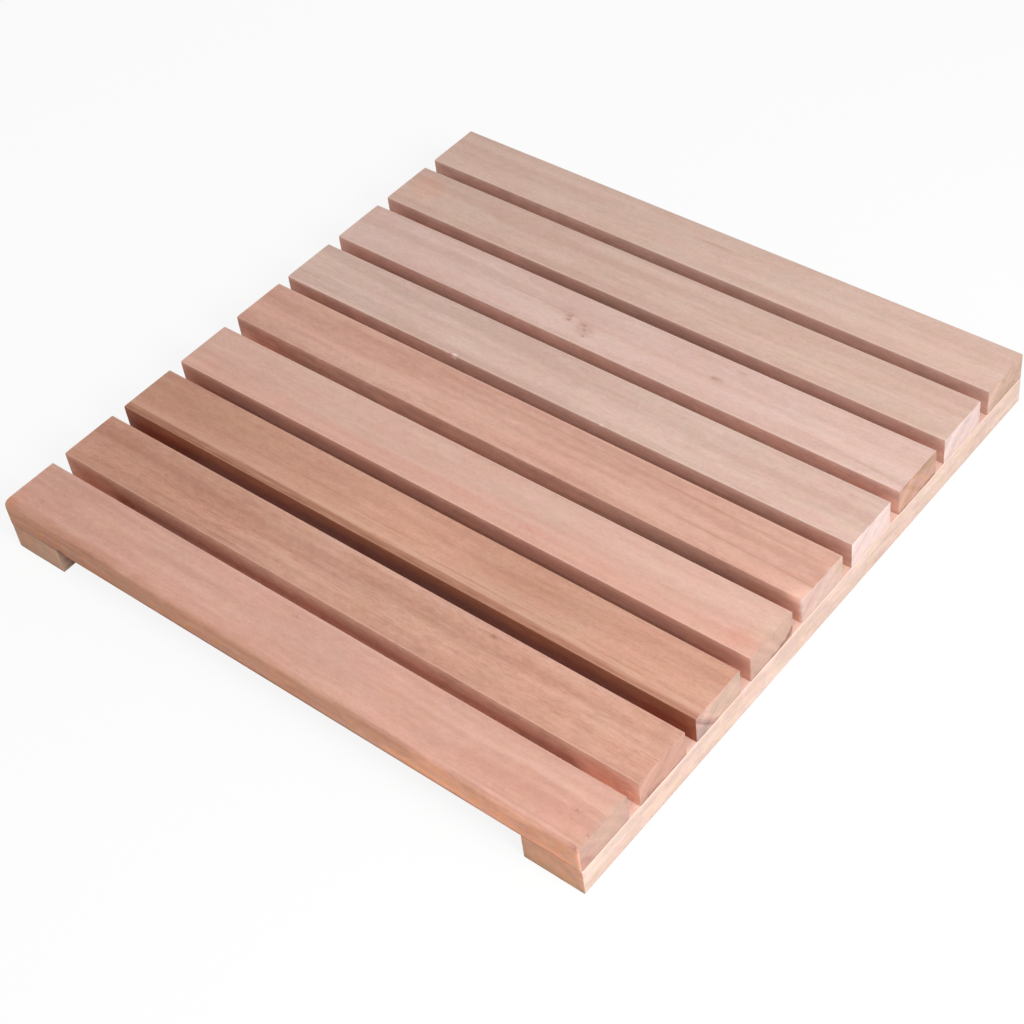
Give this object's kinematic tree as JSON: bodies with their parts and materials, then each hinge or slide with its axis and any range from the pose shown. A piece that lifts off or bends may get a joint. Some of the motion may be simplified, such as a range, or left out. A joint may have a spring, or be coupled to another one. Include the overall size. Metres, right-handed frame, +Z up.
{
  "type": "slatted wooden deck tile",
  "caption": "Square wooden deck tile: parallel hardwood slats with drainage gaps, stapled from beneath to two flush runners at their ends.",
  "frame": {"origin": "middle of the tile in plan, at the underside of the runners, which is the floor", "axes": "+Z up out of the walking face; +X along the slats; +Y from slat_1 at the front to slat_9 at the back"},
  "size_m": [0.5, 0.5, 0.044],
  "materials": {
    "pale_hardwood": "planed, unfinished",
    "rose_hardwood": "planed, unfinished",
    "brown_hardwood": "planed, open grained",
    "runner_hardwood": "sawn and planed, unfinished",
    "galvanised_wire": "galvanised"
  },
  "bodies": {
    "root": {"slat_1": "rose_hardwood", "slat_2": "brown_hardwood", "slat_3": "brown_hardwood", "slat_4": "rose_hardwood", "slat_5": "rose_hardwood", "slat_6": "pale_hardwood", "slat_7": "pale_hardwood", "slat_8": "pale_hardwood", "slat_9": "pale_hardwood", "runner_left": "runner_hardwood", "runner_right": "runner_hardwood", "staples": "galvanised_wire"}
  },
  "joints": []
}
